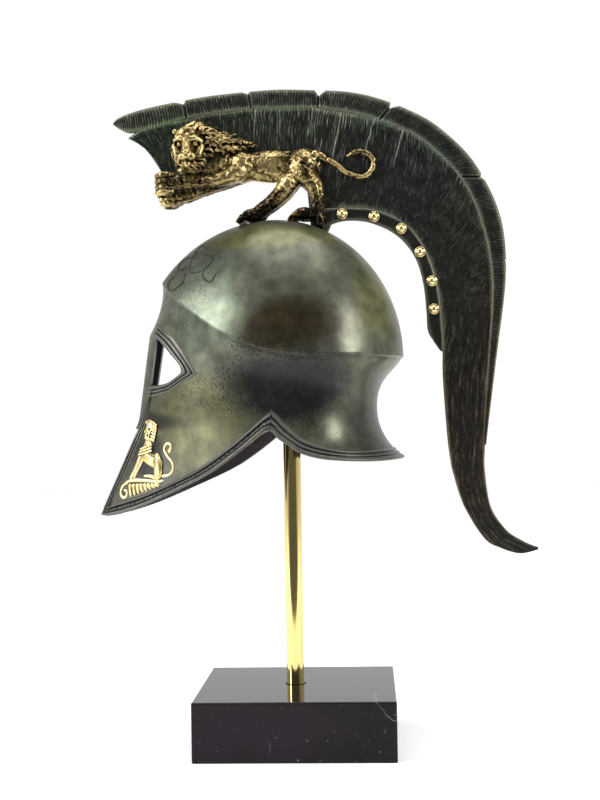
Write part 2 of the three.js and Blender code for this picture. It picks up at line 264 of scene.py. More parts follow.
# one broken white vein that slants across the left face; its width is worked in millimetres
vein_slant = 0.74
vein_level = 0.0846
apart = add_node(tree, "SeparateXYZ", Vector=warped.outputs[0])
slope = sums(tree, "ADD", apart.outputs["Z"], sums(tree, "MULTIPLY", apart.outputs["Y"], vein_slant))
beside = sums(tree, "ABSOLUTE", sums(tree, "SUBTRACT", slope, vein_level))
crack = ramp(tree, sums(tree, "MULTIPLY", beside, 1000), [(0.0, 0.8), (0.35, 0.0)])
broken = ramp(tree, cloud(tree, 160, 3), [(0.4, 0.15), (0.56, 1.0)])
left_face = ramp(tree, apart.outputs["X"], [(0.042, 0.0), (0.046, 1.0)])
crack = blend_colours(tree, 1.0, crack, broken, "MULTIPLY")
crack = blend_colours(tree, 1.0, crack, left_face, "MULTIPLY")
pale = blend_colours(tree, 1.0, pale, crack, "ADD")
tree.links.new(blend_colours(tree, pale, stone, vein_white), shader.inputs["Base Color"])
roughen(tree, shader, cloud(tree, 90, 4), 0.03, 0.08)
marble_piece = new_piece(
    "marble_block", carved(block, [drill, countersink]), [marble], ["base"]
)
marble_piece.data.set_sharp_from_angle(angle=math.radians(12))

# ---- brass rod ----
# Drawn brass bar of 9 mm, polished bright, its ends eased. It stands in the block's hole and
# carries the helmet by the inside of the dome.
rod_foot = base_height - hole_depth + 0.3
rod_top = 267.9
rod_ease = 0.6


def spun(points, centre, axis, steps):
    """A closed turned shape: a line of points taken once round an axis."""
    bm = bmesh.new()
    line = [bm.verts.new(point) for point in points]
    for first, second in zip(line, line[1:]):
        bm.edges.new((first, second))
    bmesh.ops.spin(
        bm, geom=bm.verts[:] + bm.edges[:], cent=centre, axis=axis, angle=math.tau, steps=steps,
        use_merge=True,
    )
    bmesh.ops.remove_doubles(bm, verts=bm.verts, dist=0.001)
    bmesh.ops.recalc_face_normals(bm, faces=bm.faces)
    return bm


bar = spun([
    (0, 0, rod_foot), (rod_radius - rod_ease, 0, rod_foot), (rod_radius, 0, rod_foot + rod_ease),
    (rod_radius, 0, rod_top - rod_ease), (rod_radius - rod_ease, 0, rod_top), (0, 0, rod_top),
], (0, 0, 0), (0, 0, 1), 64)
bmesh.ops.translate(bar, vec=rod_place, verts=bar.verts)

brass, tree, shader = new_finish("polished_brass", 1, 0.08)
deep_brass = (0.71, 0.57, 0.215)
pale_brass = (0.77, 0.63, 0.27)
tone = ramp(tree, cloud(tree, 60, 3, (1, 1, 0.1)), [(0.3, deep_brass), (0.7, pale_brass)])
tree.links.new(tone, shader.inputs["Base Color"])
roughen(tree, shader, cloud(tree, 500, 3, (1, 1, 0.02)), 0.05, 0.11)
emboss(tree, shader, cloud(tree, 900, 2, (1, 1, 0.01)), 0.00001, 0.2)
rod = new_piece("brass_rod", bar, [brass], ["rod"])
rod.data.set_sharp_from_angle(angle=math.radians(35))

# ---- helmet shell ----
# Cast bronze about 2.4 mm thick, with a keeled face, a dome that overhangs the neck, and a
# flared neck guard. It is patinated dark olive green and waxed; the inside is left dark.
helmet_turn = math.radians(-4)
helmet_place = Matrix.Translation(rod_place) @ Matrix.Rotation(helmet_turn, 4, "Z")
wall = 2.4
apex = Vector((0, -8, 271))
half_width = 41
centre = 8
back_reach = 36.5
keel_reach = 66.2
brow_level = 212
face_swell = 8.4
swell_top = 236
prow_ahead = 4
cheek_top_y = -79.8
cheek_top_z = 163.5
cheek_lean = 0.4637
rim_low = 198.2
rim_climb = 41.6
rim_front = 74.2
rim_run = 87.2
# each at the front, at the side and at the back
rim_overhang = (1, 6, 14.3)
rim_groove = (0.3, 1.1, 1.1)
guard_flare = (0, 7, 13.7)
dome_spread = (52, 70, 90)


def mix(first, second, share):
    """A value part of the way from one to another."""
    return first + (second - first) * share


def smooth(share):
    """A share that starts and ends gently, held between 0 and 1."""
    share = min(1, max(0, share))
    return share * share * (3 - 2 * share)


def around(turn, front, side, back):
    """A value given at the front, at the side and at the back."""
    if turn < math.pi / 2:
        return mix(front, side, math.sin(turn) ** 2)
    return mix(side, back, math.cos(turn) ** 2)


def cheek_front(z):
    """Where the cheek's straight front edge is at a height."""
    return cheek_top_y - (cheek_top_z - z) * cheek_lean


def front_reach(z):
    """How far forward the form comes: the keeled face, then a prow the cheeks are cut from."""
    swell = face_swell * min(1, max(0, (swell_top - z) / (swell_top - brow_level)) ** 1.7)
    keel = keel_reach + swell + 0.142 * max(0, brow_level - z)
    prow = prow_ahead + 0.043 * (164.5 - z) - cheek_front(z)
    return mix(keel, prow, smooth((172 - z) / 16))


def keel_share(turn, z):
    """How far forward the keeled front half has come at a turn, as a share of its reach."""
    rounding = mix(5, 16, smooth((z - brow_level) / 28))
    eased = math.hypot(half_width * math.sin(turn), rounding) - rounding
    full = math.hypot(half_width, rounding) - rounding
    left = max(0, 1 - (eased / full) ** 1.08)
    return left ** (1 / mix(1.4, 2.2, smooth((z - 125) / 75)))


def ridge_height(turn):
    """Height of the dome's lower rim."""
    ahead = rim_front * keel_share(turn, 228) if turn < math.pi / 2 else back_reach * math.cos(turn)
    ahead += around(turn, *rim_overhang) * math.cos(turn)
    return rim_low + rim_climb * max(0, (12 + ahead) / rim_run) ** 2


def skin(turn, z):
    """Point of the outer surface; turn 0 is the front and pi the back."""
    ridge = ridge_height(turn)
    level = min(z, ridge)
    sine = math.sin(turn)
    cosine = math.cos(turn)
    below = ridge - level
    bulge = around(turn, *rim_overhang) * math.exp(-(below / 10.5) ** 1.7)
    bulge -= around(turn, *rim_groove) * smooth(below / 1.2) * math.exp(-(below / 8) ** 2)
    flare = guard_flare[1] * sine ** 4 if turn < math.pi / 2 else around(turn, *guard_flare)
    spread = bulge + flare * (min(max(0, 176 - level), 34) / 29.7) ** 2.6
    x = (half_width + spread) * sine
    if turn < math.pi / 2:
        y = centre - (front_reach(level) + centre) * keel_share(turn, level) - bulge * cosine
    else:
        y = centre - (back_reach + spread) * cosine
    if z <= ridge:
        return Vector((x, y, z))
    end = math.radians(around(turn, *dome_spread))
    drop = max(0, apex.z - z) / (apex.z - ridge)
    outward = math.sin(math.acos(1 - drop * (1 - math.cos(end)))) / math.sin(end)
    return Vector((x * outward, mix(apex.y, y, outward), z))


def rung_height(turn, rung):
    """Height on the form: rung 0 is the apex, 1 the dome's rim and 2 the lower rim."""
    ridge = ridge_height(turn)
    if rung > 1:
        return mix(ridge, mix(108, 138, smooth(turn / math.pi)), rung - 1)
    end = math.radians(around(turn, *dome_spread))
    return apex.z - (apex.z - ridge) * (1 - math.cos(rung * end)) / (1 - math.cos(end))


def on_skin(y, z, lift=0.0):
    """The point of the left side's surface at y and z, lifted off it, and its normal."""
    low, high = 0.0, math.pi
    for _ in range(24):
        middle = (low + high) / 2
        if skin(middle, z).y < y:
            low = middle
        else:
            high = middle
    turn = min(max(low, 0.002), math.pi - 0.002)
    spot = skin(turn, z)
    along = skin(turn + 0.002, z) - skin(turn - 0.002, z)
    rise = skin(turn, z + 0.2) - skin(turn, z - 0.2)
    normal = along.cross(rise).normalized()
    if normal.x < 0:
        normal = -normal
    return spot + normal * lift, normal


def grid_shape(columns, rows, place):
    """A grid whose corner (column, row) goes where place() says."""
    bm = bmesh.new()
    bmesh.ops.create_grid(bm, x_segments=columns, y_segments=rows, size=1)
    for vert in bm.verts:
        column = round((vert.co.x + 1) / 2 * columns)
        row = round((vert.co.y + 1) / 2 * rows)
        vert.co = place(column, row)
    return bm


def every_part(bm):
    """All that a bmesh holds, for an operator to act on."""
    return bm.verts[:] + bm.edges[:] + bm.faces[:]


def fill_holes(bm):
    """Puts a face into each opening."""
    bmesh.ops.holes_fill(bm, edges=[edge for edge in bm.edges if edge.is_boundary], sides=0)


def closed_up(bm, gap):
    """Joins the seams of a skin, fills its open ends and points its faces outwards."""
    bmesh.ops.remove_doubles(bm, verts=bm.verts, dist=gap)
    fill_holes(bm)
    bmesh.ops.recalc_face_normals(bm, faces=bm.faces)
    return bm


def prism(outline, from_x, to_x):
    """A side outline in y and z, run across from one x to another."""
    bm = bmesh.new()
    face = bm.faces.new([bm.verts.new((from_x, y, z)) for y, z in outline])
    run = bmesh.ops.extrude_face_region(bm, geom=[face])
    moved = [item for item in run["geom"] if isinstance(item, bmesh.types.BMVert)]
    bmesh.ops.translate(bm, vec=(to_x - from_x, 0, 0), verts=moved)
    bmesh.ops.recalc_face_normals(bm, faces=bm.faces)
    return bm


def travelled(points):
    """How far along a line of points each of them is."""
    steps = np.linalg.norm(np.diff(points, axis=0), axis=1)
    return np.concatenate([[0], np.cumsum(steps)])


def curve_through(stops, count):
    """Evenly spaced points of a smooth curve through the stops, however many numbers each has."""
    dense = []
    padded = [stops[0], *stops, stops[-1]]
    for before, start, end, after in zip(padded, padded[1:], padded[2:], padded[3:]):
        for step in range(12):
            share = step / 12
            dense.append([
                0.5 * (2 * b + (c - a) * share + (2 * a - 5 * b + 4 * c - d) * share ** 2
                       + (3 * b - a - 3 * c + d) * share ** 3)
                for a, b, c, d in zip(before, start, end, after)
            ])
    dense.append(list(stops[-1]))
    dense = np.array(dense)
    run = travelled(dense)
    wanted = np.linspace(0, run[-1], count + 1)
    return np.stack([np.interp(wanted, run, column) for column in dense.T], axis=1)


half_columns = 96
dome_rows = 44
body_rows = 64


def shell_place(column, row):
    """The outer surface as a grid, from the back round the front and from the apex down."""
    share = (column - half_columns) / half_columns
    turn = math.pi * abs(share) ** 1.4
    rung = (row / dome_rows) if row <= dome_rows else 1 + ((row - dome_rows) / body_rows) ** 1.5
    if row <= dome_rows:
        rung = 1 - (1 - rung) ** 1.2
    point = skin(turn, rung_height(turn, rung))
    return Vector((math.copysign(point.x, share), point.y, point.z))


eye_outline = [
    (-68.8, 209.6), (-67.2, 209), (-55.2, 196.6), (-53.9, 195), (-53.1, 193.3), (-53, 191.8),
    (-53.7, 190.6), (-55.4, 189.6), (-60.6, 186.7), (-63.3, 185.9), (-67, 185.5), (-72.5, 185.3),
]
nasal_end = 163
cheek_end = 118.1
cheek_tip = -100.72
eye_level = 188
slot_end = nasal_end - 2
far_below = 100
# what is cut away: a 1 mm slot from the eye hole down between nasal and cheek, all that is
# ahead of the cheeks below the nasal, the gap between the cheeks, and all below the lower rim
slot_outline = [
    (cheek_front(eye_level) - 1, eye_level), (cheek_front(eye_level), eye_level),
    (cheek_front(slot_end), slot_end), (cheek_front(slot_end) - 1, slot_end),
]
ahead_outline = [
    (cheek_front(nasal_end), nasal_end), (cheek_front(far_below), far_below),
    (-130, far_below), (-130, nasal_end),
]
between_outline = [
    (cheek_front(eye_level) - 0.5, eye_level), (-66, eye_level),
    (-66, far_below), (cheek_front(far_below) - 0.5, far_below),
]
cheek_edge = [
    (-104, 121), (-102.2, 118.6), (-100, 117.9), (-96.8, 117.8), (-91.5, 118.5), (-86.8, 119.6),
    (-77, 122.7), (-67.2, 126.6), (-56, 131.5), (-44.6, 136.6), (-34, 142.1), (-24.5, 148.6),
    (-15.6, 155.2), (-11, 158.9), (-8, 160.5), (-5.9, 160.8),
]
guard_edge = [
    (-5.9, 160.8), (-4.2, 160.1), (-1.9, 157.2), (3.5, 153.7), (9.5, 150), (14.4, 148.2),
    (19.3, 147.2), (30, 146), (43, 145.4), (54, 145.8), (64, 147),
]
below_outline = cheek_edge + guard_edge[1:] + [(90, 147), (90, 60), (-120, 60)]

form = grid_shape(half_columns * 2, dome_rows + body_rows, shell_place)
bmesh.ops.remove_doubles(form, verts=form.verts, dist=0.02)
bmesh.ops.recalc_face_normals(form, faces=form.faces)
if max(form.faces, key=lambda face: face.calc_center_median().x).normal.x < 0:
    bmesh.ops.reverse_faces(form, faces=form.faces)
outer_faces = form.faces[:]
inner_wall = bmesh.ops.solidify(form, geom=outer_faces, thickness=wall)
inside_slot = 1
inner_faces = [item for item in inner_wall["geom"] if isinstance(item, bmesh.types.BMFace)]
for face in inner_faces:
    face.material_index = inside_slot
shell = carved(form, [
    prism(eye_outline, -60, 60),
    prism(slot_outline, -60, 60),
    prism(ahead_outline, -60, 60),
    prism(between_outline, -4.5, 4.5),
    prism(below_outline, -90, 90),
])
# the cheek tips are trimmed level and blunt, and slivers left ahead of the cheeks are taken off
bmesh.ops.bisect_plane(
    shell, geom=every_part(shell), dist=0.0001, plane_co=(0, 0, cheek_end), plane_no=(0, 0, 1),
    clear_inner=True,
)
ahead = [
    vert for vert in shell.verts
    if vert.co.z < nasal_end - 0.1 and vert.co.y < cheek_front(vert.co.z) - 0.02
]
bmesh.ops.delete(shell, geom=ahead, context="VERTS")
fill_holes(shell)
for vert in shell.verts:
    vert.co.y = max(vert.co.y, cheek_tip)


def patch(tree, centre, reach, ragged=0.5):
    """A share that is 1 round a place, fades out raggedly and runs right across the helmet.

    centre and reach are in y and z, in millimetres.
    """
    middle = (0, -centre[0] / reach[0], -centre[1] / reach[1])
    pace = (0, 1000 / reach[0], 1000 / reach[1])
    spread = add_node(tree, "Mapping", Vector=own_place(tree), Location=middle, Scale=pace)
    away = length_of(tree, spread.outputs["Vector"])
    uneven = sums(tree, "MULTIPLY", sums(tree, "SUBTRACT", cloud(tree, 42, 5), 0.5), ragged * 2)
    return ramp(tree, sums(tree, "ADD", away, uneven), [(0.5, 1.0), (1.0, 0.0)])


def patina_finish(name, tones, gloss, patches=()):
    """Waxed bronze patina: three tones in clouds, patches of their own tone and dark specks.

    A finish with patches is the outer one: it also darkens in the creases, partly patina and
    partly painted shade, and is brighter on proud edges, by the wear_and_shading attribute.
    """
    finish, tree, shader = new_finish(name, 0.45, 0.36)
    broad = cloud(tree, 16, 5, distortion=0.5)
    colour = ramp(tree, broad, [(0.36, tones[0]), (0.5, tones[1]), (0.64, tones[2])])
    for centre, reach, tone in patches:
        colour = blend_colours(tree, patch(tree, centre, reach), colour, tone)
    fine = ramp(tree, cloud(tree, 150, 5), [(0.3, 0.6), (0.7, 1.35)])
    colour = blend_colours(tree, 1.0, colour, fine, "MULTIPLY")
    speck = ramp(tree, cloud(tree, 1000, 2), [(0.55, 0.0), (0.62, 1.0)])
    gathered = ramp(tree, cloud(tree, 30, 4), [(0.5, 0.0), (0.62, 0.7)])
    if patches:
        gathered = blend_colours(tree, 1.0, gathered, patch(tree, (-4, 184), (44, 30)), "ADD")
    dark = blend_colours(tree, 1.0, speck, gathered, "MULTIPLY")
    colour = blend_colours(tree, dark, colour, (0.009, 0.008, 0.010))
    if patches:
        # painted shade with patina: darker in the creases, brighter on proud edges
        wear_and_shading = add_node(tree, "Attribute", {"attribute_name": "wear_and_shading"}).outputs["Fac"]
        crease = ramp(tree, wear_and_shading, [(0.25, 0.25), (0.46, 1.0), (0.7, 1.0), (0.95, 1.4)])
        colour = blend_colours(tree, 1.0, colour, crease, "MULTIPLY")
    tree.links.new(colour, shader.inputs["Base Color"])
    roughen(tree, shader, cloud(tree, 60, 4), gloss - 0.06, gloss + 0.08)
    emboss(tree, shader, cloud(tree, 350, 4), 0.0001, 0.35)
    return finish


grey_green = (0.088, 0.108, 0.074)
olive = (0.085, 0.088, 0.038)
# on the middle of the dome: partly the patina's brown and partly a painted reflection of the room's dark
# side
brown_and_dark_reflection = (0.026, 0.021, 0.009)
purple_black = (0.015, 0.014, 0.015)
patina = patina_finish(
    "olive_patina_and_shading", [(0.040, 0.037, 0.037), (0.060, 0.062, 0.043), (0.085, 0.093, 0.060)], 0.3,
    [
        ((-42, 226), (30, 32), grey_green), ((-50, 166), (34, 32), olive), ((46, 232), (16, 30), olive),
        ((-6, 260), (44, 8), olive), ((1, 183), (36, 22), purple_black), ((0, 212), (30, 16), brown_and_dark_reflection),
        ((-74, 148), (11, 15), purple_black),
    ],
)
inside = patina_finish(
    "inner_patina", [(0.018, 0.014, 0.020), (0.026, 0.020, 0.028), (0.036, 0.030, 0.036)], 0.5
)
shell_piece = new_piece(
    "helmet_shell_skin", shell, [patina, inside], ["helmet_shell"], True
)
shell_piece.data.set_sharp_from_angle(angle=math.radians(38))

# ---- raised borders ----
# Bands cast with the shell round the eyes, down the cheeks' front edges, along the cheeks'
# lower edges and round the neck guard: a rim, grooves and a rounded bead.


def border(name, pairs, count, relief, rows=14):
    """A raised band between two side lines, on both sides of the helmet.

    pairs holds (edge y, edge z, inner y, inner z); relief(share, distance) is its height.
    """
    ribs = curve_through(pairs, count)
    lengths = travelled(ribs[:, :2])

    def place(column, row):
        edge_y, edge_z, inner_y, inner_z = ribs[column]
        across = row - 1
        sunk = row in (0, rows + 2, rows + 3)
        share = 0.0 if row in (0, rows + 3) else min(1.0, across / rows)
        lift = -0.5 if sunk else relief(share, lengths[column])
        return on_skin(mix(edge_y, inner_y, share), mix(edge_z, inner_z, share), lift)[0]

    band = closed_up(grid_shape(count, rows + 3, place), 0.004)
    bmesh.ops.mirror(band, geom=every_part(band), axis="X", merge_dist=-1)
    bmesh.ops.recalc_face_normals(band, faces=band.faces)
    piece = new_piece(name, band, [rim_patina_and_shading], (), True)
    mark_wear_and_shading(piece, 0.25)
    piece.data.set_sharp_from_angle(angle=math.radians(60))


# The stored values colour the bronze: hollows darker, as patina and as painted shade, and proud places
# brighter, as wear and as painted highlight.
def mark_wear_and_shading(piece, reach, passes=2):
    """Stores how far each point stands proud of its neighbours: 0 hollow, 0.5 flat, 1 proud.

    reach is the height in millimetres that counts as fully proud.
    """
    mesh = piece.data
    count = len(mesh.vertices)
    places = np.zeros(count * 3)
    mesh.vertices.foreach_get("co", places)
    places = places.reshape(-1, 3) * 1000
    normals = np.zeros(count * 3)
    mesh.vertices.foreach_get("normal", normals)
    normals = normals.reshape(-1, 3)
    edges = np.zeros(len(mesh.edges) * 2, int)
    mesh.edges.foreach_get("vertices", edges)
    first, second = edges.reshape(-1, 2).T
    links = np.bincount(edges, minlength=count).clip(1)
    relaxed = places.copy()
    for _ in range(passes * 3):
        total = np.zeros_like(relaxed)
        np.add.at(total, first, relaxed[second])
        np.add.at(total, second, relaxed[first])
        relaxed = total / links[:, None]
    proud = ((places - relaxed) * normals).sum(axis=1)
    values = np.clip(0.5 + proud / reach * 0.5, 0, 1)
    layer = mesh.attributes.new("wear_and_shading", "FLOAT", "POINT")
    layer.data.foreach_set("value", values.astype(np.float32))


# the shell's creases are marked for painted shade with patina in them
mark_wear_and_shading(shell_piece, 0.3, 3)


def shaded_wear_finish(
    name, hollow, flat, proud, metallic, gloss, grain=240, spots=0.35, marks=(0.3, 0.5, 0.68),
    dull=None, tints=(),
):
    """Bronze that is dark in its hollows and brighter where it stands proud: patina and wear, with
    painted shade in the hollows and painted highlights on the high places.

    marks says at which wear_and_shading value each of the three tones stands. dull is a low and a
    high level in metres and the wear_and_shading that is lost at the low one. tints holds (centre, reach,
    tone).
    """
    finish, tree, shader = new_finish(name, metallic, gloss)
    wear_and_shading = add_node(tree, "Attribute", {"attribute_name": "wear_and_shading"}).outputs["Fac"]
    uneven = sums(tree, "MULTIPLY", sums(tree, "SUBTRACT", cloud(tree, grain, 4), 0.5), spots)
    wear_and_shade_level = sums(tree, "ADD", wear_and_shading, uneven)
    if dull:
        low, high, loss = dull
        level = add_node(tree, "SeparateXYZ", Vector=own_place(tree)).outputs["Z"]
        wear_and_shade_level = sums(tree, "ADD", wear_and_shade_level, ranged(tree, level, low, high, -loss, 0))
    colour = ramp(tree, wear_and_shade_level, list(zip(marks, (hollow, flat, proud))))
    for centre, reach, tone in tints:
        colour = blend_colours(tree, patch(tree, centre, reach, 0.8), colour, tone, "MULTIPLY")
    tree.links.new(colour, shader.inputs["Base Color"])
    roughen(tree, shader, cloud(tree, 150, 3), gloss - 0.05, gloss + 0.1)
    emboss(tree, shader, cloud(tree, 900, 3), 0.00006, 0.4)
    return finish


# dark in the grooves and light on the ridges: patina and wear, with painted shade in the grooves and
# painted highlights on the ridges
rim_patina_and_shading = shaded_wear_finish(
    "rim_patina_and_shading", (0.004, 0.004, 0.005), (0.024, 0.024, 0.024), (0.100, 0.100, 0.085), 0.5, 0.32
)


def bump_at(share, middle, width, height):
    """A flat-topped swell across a band."""
    return height * math.exp(-((share - middle) / width) ** 4)


band_lift = 0.03


def two_lines(share, distance):
    """A rim at the edge and two narrower lines beside it."""
    rim = bump_at(share, 0.14, 0.17, 0.75)
    return band_lift + rim + bump_at(share, 0.5, 0.11, 0.6) + bump_at(share, 0.84, 0.1, 0.5)


def beaded_rim(share, distance):
    """A smooth rim, a row like worn rope, and a bead with a groove on each side."""
    wave = noise.noise(Vector((distance * 0.8, share * 3, 4.7)))
    rope = 0.6 + 0.18 * math.sin(distance * 2.2 + share * 9) + 0.5 * wave
    rim = bump_at(share, 0.13, 0.17, 0.85)
    return band_lift + rim + bump_at(share, 0.45, 0.1, max(0.1, rope)) + bump_at(share, 0.77, 0.1, 1.25)


eye_band = [
    (-70.4, 211.2, -68.4, 217.2), (-68.2, 209.9, -66.2, 215.8), (-66.6, 208.6, -62.6, 212.8),
    (-63.4, 205.3, -58.3, 209.3), (-59, 200.7, -52.1, 201.8), (-55.3, 196.8, -47.9, 196),
    (-53.4, 194.2, -44.8, 191.3), (-53, 192.4, -44, 190.2), (-53.3, 191.1, -45.4, 189.4),
    (-55.4, 189.5, -52.3, 186.2), (-60.6, 186.6, -60.8, 181.7), (-65, 185.5, -66.4, 180.3),
    (-69.5, 185.2, -71.5, 179.5), (-72.8, 185.1, -73.6, 179.3),
]
border("eye_borders", eye_band, 150, two_lines)
front_band = [
    (cheek_front(edge_z) + 0.2, edge_z, inner_y, inner_z)
    for edge_z, inner_y, inner_z in [
        (184, -71, 182), (180, -72.4, 178.6), (172, -73.6, 171), (163, -76.6, 161.3),
        (154, -80.6, 152.2), (144, -85.4, 142), (134, -90.4, 132), (128, -93.4, 125.8),
        (122, -96.6, 119),
    ]
]
border("cheek_front_borders", front_band, 120, two_lines, 12)
cheek_band = [
    (-99.9, 119, -98, 120.9), (-99.2, 118.3, -95.8, 122.4), (-96.8, 117.9, -92, 124.2),
    (-91.5, 118.6, -88.7, 125.6), (-86.8, 119.7, -84, 127), (-77, 122.8, -75.2, 129.6),
    (-67.2, 126.7, -67, 132.6), (-56, 131.6, -57, 136.6), (-44.6, 136.7, -47.4, 140.9),
    (-36, 141, -40.6, 144.7), (-29, 145.4, -34, 149), (-20.5, 151.5, -24.2, 155.8),
    (-13, 157.4, -13.4, 164.6), (-9.6, 159.9, -8.4, 168.8), (-6.1, 160.9, -5, 171.4),
]
border("cheek_lower_borders", cheek_band, 420, beaded_rim, 28)
guard_band = [
    (-5.7, 160.9, -5, 171.4), (-3.6, 159.6, -2.2, 168.8), (-1.4, 156.9, 1.8, 164.5),
    (4, 153.5, 9.1, 157.9), (9.5, 150.1, 14, 155.2), (19.3, 147.3, 20.6, 152.9),
    (30, 146.1, 30.6, 150.9), (43, 145.5, 42, 150.5), (50, 145.6, 48.6, 150.9),
    (54.6, 145.9, 52.2, 151.2), (57.2, 146.1, 54.4, 151.4), (58.6, 146.3, 55.7, 151.6),
]
border("neck_guard_borders", guard_band, 300, two_lines, 24)

# ---- forehead scrolls ----
# A small palmette of thin scrolling lines on the front of the dome, on each side of the keel,
# left dark.
scroll_dark, tree, shader = new_finish("chased_line", 0.2, 0.6)
line_black = (0.004, 0.005, 0.004)
line_grey = (0.014, 0.016, 0.011)
line_tone = ramp(tree, cloud(tree, 300, 2), [(0.3, line_black), (0.7, line_grey)])
tree.links.new(line_tone, shader.inputs["Base Color"])
scroll_lines = [
    [(-46.6, 256.1), (-48.1, 252.1), (-49.6, 247.1), (-49.1, 243.1)],
    [(-48.4, 251), (-51.8, 251.5), (-55.3, 249.7), (-57, 245.8), (-53.7, 245.2), (-50.8, 246.7)],
    [(-46.6, 256.1), (-44.5, 257.6), (-42.6, 256.9), (-40, 254)],
    [(-43.1, 252.6), (-37.8, 250.9), (-36.3, 248.5), (-38.8, 245.4), (-40.9, 243.4),
     (-41.1, 239.7), (-37.4, 236.7), (-35.3, 238.1), (-33.9, 241.2)],
    [(-51.4, 242.8), (-52.2, 239.6), (-52.6, 237.7), (-57.1, 234.6), (-60.2, 234.4),
     (-61.8, 236.8), (-61, 239.5), (-58.7, 241.5)],
    [(-49.1, 243.1), (-46.4, 242.3), (-42.6, 243.1)],
]


def wire(bm, stops, radius):
    """A thin round line, half sunk in the dome and tapered at its ends."""
    count = 12 * len(stops)
    spots = [on_skin(y, z) for y, z in curve_through(stops, count)]

    def place(column, row):
        spot, normal = spots[column]
        ahead = spots[min(column + 1, count)][0] - spots[max(column - 1, 0)][0]
        side = ahead.normalized().cross(normal)
        angle = math.tau * row / 6
        size = radius * min(1, (min(column, count - column) + 0.4) / 4)
        return spot + (side * math.cos(angle) + normal * math.sin(angle)) * size

    tube = closed_up(grid_shape(count, 6, place), 0.002)
    mesh = bpy.data.meshes.new("tube")
    tube.to_mesh(mesh)
    tube.free()
    bm.from_mesh(mesh)
    bpy.data.meshes.remove(mesh)


scroll_radius = 0.4
scroll = bmesh.new()
for stops in scroll_lines:
    wire(scroll, stops, scroll_radius)
bmesh.ops.mirror(scroll, geom=every_part(scroll), axis="X", merge_dist=-1)
bmesh.ops.recalc_face_normals(scroll, faces=scroll.faces)
new_piece("forehead_scrolls", scroll, [scroll_dark], (), True)

# ---- crest plate ----
# A flat cast plate 4 mm thick with the look of a plume: an outer band in overlapping groups,
# the hair below it, and a smooth inner band for the studs. Band and hair are chased with lines.
# bright high places are painted highlights along with wear; the hollows are dark patina with painted shade
crest_bronze = shaded_wear_finish(
    "crest_patina_and_shading", (0.003, 0.003, 0.003), (0.017, 0.018, 0.014), (0.115, 0.115, 0.085), 0.5, 0.36,
    grain=140, spots=0.4, marks=(0.33, 0.55, 0.88), tints=[
        ((-76, 310), (26, 26), (0.85, 1.2, 0.85)), ((-2, 322), (52, 14), (0.88, 1.12, 0.95)),
        ((58, 296), (34, 34), (0.9, 1.08, 1.15)), ((92, 150), (34, 80), (1.25, 1.03, 0.92)),
    ],
)
line_pitch = 1.4
band_half = 1.85
plume_half = 1.5
inner_half = 1.68
# the plate turns down into its tail behind this
tail_start = 60


def crest_part(name, ribs, columns, rows, half, relief, replaced=(), cut_in=None):
    """One layer of the plate, on both faces of it; half is half its thickness.

    ribs holds (outer y, outer z, inner y, inner z, bow). relief(travel, share, length, y, z)
    is the height above that, travel being the distance along the outer line, share the way
    across and length the width there. cut_in(travel, share) is how far the edge is cut in.
    """
    lines = curve_through(ribs, columns)
    travel = travelled(lines[:, :2])
    lap = 2 * rows + 2

    def place(column, row):
        outer_y, outer_z, inner_y, inner_z, bow = lines[column]
        near = row <= rows
        step = row if near else 2 * rows + 1 - row
        share = 0.5 - 0.5 * math.cos(math.pi * step / rows)
        share = mix(share, step / rows, 0.55)
        length = math.hypot(outer_y - inner_y, outer_z - inner_z)
        arch = 4 * share * (1 - share) * bow / max(length, 0.1)
        y = mix(outer_y, inner_y, share) + arch * (outer_z - inner_z)
        z = mix(outer_z, inner_z, share) - arch * (outer_y - inner_y)
        height = relief(travel[column], share, length, y, z)
        rim = min(share, 1 - share) * length
        thick = half + height
        if rim < 0.5:
            thick *= 0.6 + 0.4 * math.sqrt(1 - (1 - rim / 0.5) ** 2)
        dent = cut_in(travel[column], share) if cut_in else 0
        pull = dent / max(length, 0.1) * (1 - share)
        y += (inner_y - outer_y) * pull
        z += (inner_z - outer_z) * pull
        return Vector((thick if near else -thick, y, z))

    part = closed_up(grid_shape(columns, lap, lambda column, row: place(column, row % lap)), 0.012)
    piece = new_piece(name, part, [crest_bronze], replaced, True)
    mark_wear_and_shading(piece, 0.42)


band_ribs = [
    (-92.9, 324.9, -92.5, 324.4, 0), (-90.6, 327.4, -89.2, 322, 0), (-84, 330.1, -83.4, 319.8, 0),
    (-72.9, 332.8, -72, 321.5, 0), (-60, 334.9, -58, 324.5, 0), (-42, 337.4, -40, 327.5, 0),
    (-20, 338.9, -18.3, 329.4, 0), (-3.3, 339.3, -3.5, 328.8, 0), (14.6, 338.2, 13.6, 328.6, 0),
    (33.4, 336.4, 29.6, 326.1, 0), (50, 331.8, 43.1, 322.6, 0), (68, 323.6, 60.1, 315.7, 0),
    (80, 315.4, 69.8, 309.8, 0), (94, 301.3, 81, 299.3, 0), (103.3, 285.8, 91, 287, 0),
    (109.2, 271, 97, 274.2, 0), (111.8, 256, 102, 257, 0), (112, 240, 104.4, 240.5, 0),
    (110.6, 225, 104.4, 225.5, 0), (107.6, 204.5, 102.9, 206, 0), (104.9, 185.5, 101.2, 186.5, 0),
    (102.2, 166, 99.6, 166.5, 0), (100.4, 152, 98.8, 152.2, 0),
]
band_columns = 1500
band_line = curve_through(band_ribs, band_columns)
band_travel = travelled(band_line[:, :2])
notches = []
